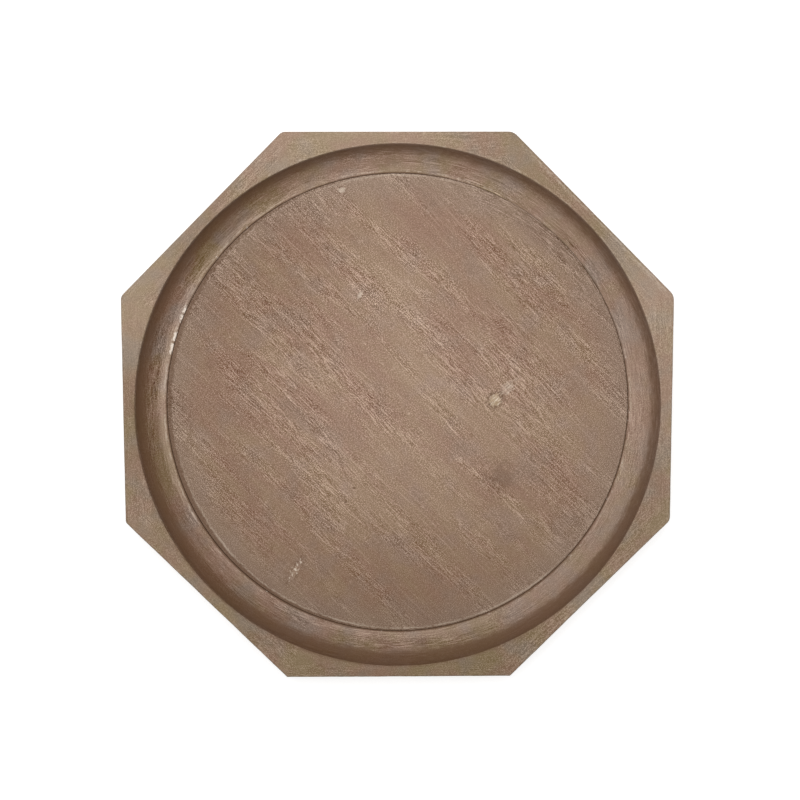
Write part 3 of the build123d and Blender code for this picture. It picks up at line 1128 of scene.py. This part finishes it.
def marked(wiring, colour, name):
    """The colour, with one of the floor's marks on it."""
    here = wiring.here()
    (x, y), length, width, turn, rise = floor_marks[name]
    tint, amount, raggedness = mark_tints[name]
    mark = wiring.group(groups["mark"], Place=here, Centre=(x, y, floor_level), Turn=turn)
    wiring.fill(mark, Half_Length=length, Half_Width=width, Raggedness=raggedness)
    colour = wiring.mix(wiring.times(mark.outputs["Mask"], amount), colour, tint)
    if name in mark_rings:
        dotted = wiring.rise(wiring.noise(here, 1.4 * mm, 1.0), 0.40, 0.52)
        ring = wiring.times(wiring.times(mark.outputs["Edge"], dotted), mark_rings[name])
        colour = wiring.mix(ring, colour, dark_umber_and_shade)
    if name in mark_flecks:
        flecks = wiring.times(mark.outputs["Mask"], mark.outputs["Fleck"])
        colour = wiring.mix(wiring.times(flecks, mark_flecks[name]), colour, bare_wood_and_highlight)
    return colour


def rim_finish():
    """The wash on the rim: grain along each stick, turned streaks in the cove, arrises paled by rubbing
    and painted highlights, and painted shade in the cove, at the joint and round the outside.
    """
    material, wiring, shader = start_material("weathered_rim_wash")
    here = wiring.here()
    place = wiring.held("grain", "Vector")
    turned = wiring.held("turned", "Vector")
    grain = wiring.group(groups["grain"], Place=place, Streak_Length=22 * mm, Streak_Width=1.2 * mm)
    wiring.fill(grain, Patch_Size=22 * mm, Waver=1.2 * mm, Contrast=0.38)
    patches = wiring.noise(here, 34 * mm, 3.0, 0.55)
    drift = wiring.noise(wiring.vector("ADD", here, (0.5, 0.2, 0.3)), 26 * mm, 2.0)
    face_colour = washed_colour(wiring, grain, patches, drift, rim_browns)
    cove_colour = washed_colour(wiring, grain, patches, drift, cove_browns)
    colour = wiring.mix(wiring.held("cove"), face_colour, cove_colour)
    strokes = wiring.group(groups["strokes"], Place=turned, Amount=wiring.held("scored"))
    # The held value lightens and darkens the rim round the tray: partly the wash, partly painted light
    # and shade
    lift = wiring.weighed_sum((strokes.outputs["Brightness"], 1.0), (wiring.held("tone_and_light"), 1.6))
    colour = wiring.paler(colour, lift)
    # Dark flakes, mostly painted shade: high in the cove, down at the joint and round the outside
    colour = flaked(wiring, colour, dark_umber_and_shade, 0.78, turned, wiring.held("shade_and_glaze"), 3 * mm, 0.4)
    # Pale flakes of rubbing wear, and painted highlights on the well's arris and the cove's upper edge
    colour = flaked(wiring, colour, bare_wood_and_highlight, 0.4, place, wiring.held("wear_and_highlight"), 0.9 * mm, 1.0)
    colour = flaked(wiring, colour, split_wood, 0.8, turned, wiring.held("chipped"), 0.8 * mm, 1.6)
    wiring.feed(shader.inputs["Base Color"], colour)
    wood_gloss(wiring, shader, grain, 0.5)
    height = wiring.plus(grain.outputs["Height"], strokes.outputs["Height"])
    add_relief(wiring, shader, height, 0.3 * mm, 0.5)
    return material


def floor_finish():
    """The wash on the floor: diagonal grain, knots and marks, painted light fall-off, and an edge
    darkened by glazing and painted shade and paled by rubbing and a painted highlight.
    """
    material, wiring, shader = start_material("weathered_floor_wash")
    place = along_grain(wiring, grain_turn)
    turned = wiring.held("turned", "Vector")
    outwards = from_centre(wiring)
    ends = wiring.place("ShaderNodeSeparateXYZ")
    wiring.feed(ends.inputs[0], wiring.here())

    # The grain shows less towards the edge and on the -Y side, and painted light fall-off makes the
    # floor paler towards +Y and darker towards its edge
    fading = wiring.rise(outwards, 60 * mm, 150 * mm)
    fading = wiring.plus(fading, wiring.rise(ends.outputs["Y"], -20 * mm, -140 * mm))
    contrast = wiring.minus(1.0, wiring.times(fading, 0.24))
    grain = wiring.group(groups["grain"], Place=place, Streak_Length=14 * mm, Streak_Width=0.85 * mm)
    wiring.fill(grain, Patch_Size=24 * mm, Waver=1.6 * mm, Contrast=contrast)
    patches = grain.outputs["Patches"]
    colour = washed_colour(wiring, grain, patches, grain.outputs["Drift"], floor_browns)
    near_edge = wiring.times(wiring.rise(outwards, 145 * mm, 172 * mm), 0.7)
    edge_colour = wiring.paler(edge_brown, grain.outputs["Brightness"])
    colour = wiring.mix(near_edge, colour, edge_colour)
    # Painted light fall-off: paler towards +Y and darker towards -Y, then darker towards the edge
    tone_and_light = wiring.times(ends.outputs["Y"], 0.3)
    colour = wiring.paler(colour, wiring.plus(tone_and_light, wiring.held("tone_and_light")))
    for name in mark_tints:
        colour = marked(wiring, colour, name)
    # Dark flakes of glaze and painted shade along the worn edge, and of painted shade down in the joint
    colour = flaked(wiring, colour, dark_umber_and_shade, 0.6, place, wiring.held("shade_and_glaze"), 2 * mm, 0.4)
    strokes = wiring.group(groups["strokes"], Place=turned, Amount=wiring.held("scored"))
    wiring.fill(strokes, Stroke_Length=15 * mm, Stroke_Width=0.75 * mm, Evenness=0.8)
    colour = wiring.paler(colour, strokes.outputs["Brightness"])
    # Pale flakes of rubbing on the edge's shoulder, partly a painted highlight
    colour = flaked(wiring, colour, bare_wood_and_highlight, 0.36, turned, wiring.held("wear_and_highlight"), 1.0 * mm, 1.0)
    wiring.feed(shader.inputs["Base Color"], colour)
    wood_gloss(wiring, shader, grain, 0.5)
    add_relief(wiring, shader, grain.outputs["Height"], 0.3 * mm, 0.5)
    return material


def plain_wood(name, pale, dark, streak_length, turn, contrast):
    """Unwashed wood with straight grain at a turn round Z: the backing, and the dowels."""
    material, wiring, shader = start_material(name)
    place = along_grain(wiring, turn)
    grain = wiring.group(groups["grain"], Place=place, Streak_Length=streak_length)
    wiring.fill(grain, Streak_Width=1.4 * mm, Patch_Size=40 * mm, Contrast=contrast)
    colour = wiring.mix(wiring.rise(grain.outputs["Patches"], 0.35, 0.65), pale, dark)
    wiring.feed(shader.inputs["Base Color"], wiring.paler(colour, grain.outputs["Brightness"]))
    wood_gloss(wiring, shader, grain, 0.45)
    add_relief(wiring, shader, grain.outputs["Height"], 0.2 * mm, 0.4)
    return material


def pressed_board():
    """The core's fibreboard: short felted fibres with no grain, and painted shade where it shows in the
    joint.
    """
    material, wiring, shader = start_material("pressed_fibre_board")
    here = wiring.here()
    felt = wiring.noise(here, 0.8 * mm, 4.0, 0.7)
    clouds = wiring.noise(here, 14 * mm, 2.0, 0.5)
    pale_felt = wiring.rise(felt, 0.35, 0.65)
    colour = wiring.mix(pale_felt, (0.20, 0.125, 0.068, 1), (0.36, 0.25, 0.15, 1))
    colour = wiring.mix(wiring.times(clouds, 0.3), colour, (0.16, 0.10, 0.06, 1))
    # A ring of painted shade where the core shows in the joint
    core_gap_shade = wiring.rise(from_centre(wiring), lip_radius - 3 * mm, lip_radius - 1.5 * mm)
    colour = wiring.mix(core_gap_shade, colour, (0.045, 0.024, 0.014, 1))
    wiring.feed(shader.inputs["Base Color"], colour)
    shader.inputs["Specular IOR Level"].default_value = 0.1
    wiring.feed(shader.inputs["Roughness"], wiring.plus(wiring.times(felt, 0.2), 0.65))
    add_relief(wiring, shader, felt, 0.15 * mm, 0.5)
    return material


def plated_steel():
    """The screws' plating: brushed, with a dull yellow bloom and dark scuffs."""
    material, wiring, shader = start_material("plated_screw_steel")
    here = wiring.here()
    bloom = wiring.rise(wiring.noise(here, 2.2 * mm, 3.0, 0.6), 0.4, 0.65)
    scuff = wiring.noise(here, (0.25 * mm, 1.6 * mm, 0.25 * mm), 2.0, 0.6)
    colour = wiring.mix(bloom, (0.60, 0.52, 0.36, 1), (0.52, 0.50, 0.47, 1))
    colour = wiring.mix(wiring.rise(scuff, 0.62, 0.75), colour, (0.20, 0.16, 0.12, 1))
    wiring.feed(shader.inputs["Base Color"], colour)
    shader.inputs["Metallic"].default_value = 0.95
    wiring.feed(shader.inputs["Roughness"], wiring.plus(wiring.times(scuff, 0.3), 0.25))
    add_relief(wiring, shader, scuff, 0.04 * mm, 0.4)
    return material


def soft_rubber():
    """The feet's rubber: dark, faintly pitted, with pale dust on its worn skin."""
    material, wiring, shader = start_material("soft_foot_rubber")
    here = wiring.here()
    pits = wiring.noise(here, 0.5 * mm, 3.0, 0.7)
    colour = wiring.mix(pits, (0.020, 0.019, 0.018, 1), (0.045, 0.042, 0.040, 1))
    colour = flaked(wiring, colour, (0.28, 0.25, 0.22, 1), 0.25, here, 0.3, 1.2 * mm, 0.7)
    wiring.feed(shader.inputs["Base Color"], colour)
    wiring.feed(shader.inputs["Roughness"], wiring.plus(wiring.times(pits, 0.25), 0.55))
    add_relief(wiring, shader, pits, 0.08 * mm, 0.5)
    return material


def refinish(node, material):
    """Gives a CAD node that keeps its shape a new material."""
    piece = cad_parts[node]
    piece.data.materials.clear()
    piece.data.materials.append(material)


# ---------------------------------------------------------------- Table, lights and camera


def lay_table():
    """A plain pale table top under the tray, lit a little from within."""
    reach = 15.0
    mesh = bpy.data.meshes.new("pale_table")
    corners = [(-reach, -reach, 0), (reach, -reach, 0), (reach, reach, 0), (-reach, reach, 0)]
    mesh.from_pydata(corners, [], [(0, 1, 2, 3)])
    table = bpy.data.objects.new("pale_table", mesh)
    bpy.context.scene.collection.objects.link(table)
    material, wiring, shader = start_material("pale_table_paint")
    shader.inputs["Base Color"].default_value = (0.65, 0.65, 0.65, 1)
    shader.inputs["Roughness"].default_value = 0.9
    shader.inputs["Specular IOR Level"].default_value = 0.1
    shader.inputs["Emission Color"].default_value = (1, 1, 1, 1)
    shader.inputs["Emission Strength"].default_value = 0.6
    mesh.materials.append(material)


def soft_light(name, place, aim, width, power):
    """A square softbox that points from its place to an aim."""
    lamp = bpy.data.lights.new(name, "AREA")
    lamp.shape = "SQUARE"
    lamp.size = width
    lamp.energy = power
    light = bpy.data.objects.new(name, lamp)
    light.location = place
    light.rotation_euler = (Vector(aim) - Vector(place)).to_track_quat("-Z", "Y").to_euler()
    light.visible_camera = False
    bpy.context.scene.collection.objects.link(light)


def set_lights():
    """An even pale surround that looks brighter than it lights, and one softbox over the +Y side."""
    world = bpy.data.worlds.new("pale_surround")
    world.use_nodes = True
    surround = next(node for node in world.node_tree.nodes if node.type == "BACKGROUND")
    surround.inputs["Color"].default_value = (1, 1, 1, 1)
    wiring = Wiring(world.node_tree)
    lights = 0.5
    looks = 0.92
    seen = wiring.place("ShaderNodeLightPath").outputs["Is Camera Ray"]
    strength = wiring.plus(wiring.times(seen, looks - lights), lights)
    wiring.feed(surround.inputs["Strength"], strength)
    bpy.context.scene.world = world
    soft_light("overhead_softbox", (-0.05, 0.24, 0.8), (0, 0.05, 0), 0.6, 5.5)


def set_camera():
    """A camera above the tray, a little towards +Y, that looks down and slightly back."""
    lens = bpy.data.cameras.new("view_from_above")
    lens.lens = 72.19
    lens.sensor_width = 36
    lens.clip_start = 0.05
    camera = bpy.data.objects.new("view_from_above", lens)
    place = Vector((-0.0135, 0.1475, 1.2154))
    look = Vector((0.012507, -0.11827, -0.992903)).normalized()
    right = look.cross(Vector((0.0016, 1, 0))).normalized()
    up = right.cross(look)
    camera.matrix_world = Matrix.Translation(place) @ Matrix((right, up, -look)).transposed().to_4x4()
    bpy.context.scene.collection.objects.link(camera)
    bpy.context.scene.camera = camera
    bpy.context.scene.view_settings.view_transform = "Standard"


# ---------------------------------------------------------------- Building the tray

pairs = pairs_round_the_tray()

rim_material = rim_finish()
for side in range(1, side_count + 1):
    mesh = rim_segment(side)
    finished(mesh.name, mesh, f"rim_segment_{side}", slot="rim_wood", material=rim_material)

floor_material = floor_finish()
floor_mesh = floor_sheet()
finished(floor_mesh.name, floor_mesh, "floor_veneer", slot="floor_wood", material=floor_material)

backing_tints = ((0.26, 0.17, 0.11, 1), (0.19, 0.12, 0.078, 1))
backing = plain_wood("backing_wood", *backing_tints, 40 * mm, grain_turn, 0.6)
refinish("floor_core", pressed_board())
refinish("backing_veneer", backing)

screws = repeated(
    "countersunk_screws",
    countersunk_screw(),
    pairs,
    Circle=screw_circle,
    Pairs=side_count,
    First_Angle=0.0,
    Half_Angle=screw_angle,
    Half_Rise=0.0,
    Turn_Range=pi,
    Seed=4,
    Finish=plated_steel(),
)
finished(screws.name, screws, "panel_screws", slot="screw_steel", material=None)

beech_tints = ((0.52, 0.36, 0.21, 1), (0.40, 0.26, 0.15, 1))
dowels = repeated(
    "beech_dowels",
    fluted_dowel(),
    pairs,
    Circle=dowel_circle,
    Pairs=side_count,
    First_Angle=half_side,
    Half_Angle=0.0,
    Level=sum(dowel_levels) / 2,
    Half_Rise=(dowel_levels[1] - dowel_levels[0]) / 2,
    Roll_Range=pi,
    Seed=9,
    Finish=plain_wood("beech_dowel_wood", *beech_tints, 9 * mm, 0, 0.5),
)
dowel_nodes = []
for mitre in range(1, side_count + 1):
    dowel_nodes += [f"mitre_dowel_{mitre}_lower", f"mitre_dowel_{mitre}_upper"]
finished(dowels.name, dowels, *dowel_nodes, slot="dowel_wood", material=None)

feet = repeated(
    "rubber_feet",
    rubber_stud(),
    pairs,
    Circle=foot_circle,
    Pairs=2,
    First_Angle=pi / 2,
    Half_Angle=pi / 4,
    Half_Rise=0.0,
    Turn_Range=pi,
    Seed=2,
    Finish=soft_rubber(),
)
foot_nodes = [f"rubber_foot_{foot}" for foot in range(1, 5)]
finished(feet.name, feet, *foot_nodes, slot="foot_rubber", material=None)

lay_table()
set_lights()
set_camera()
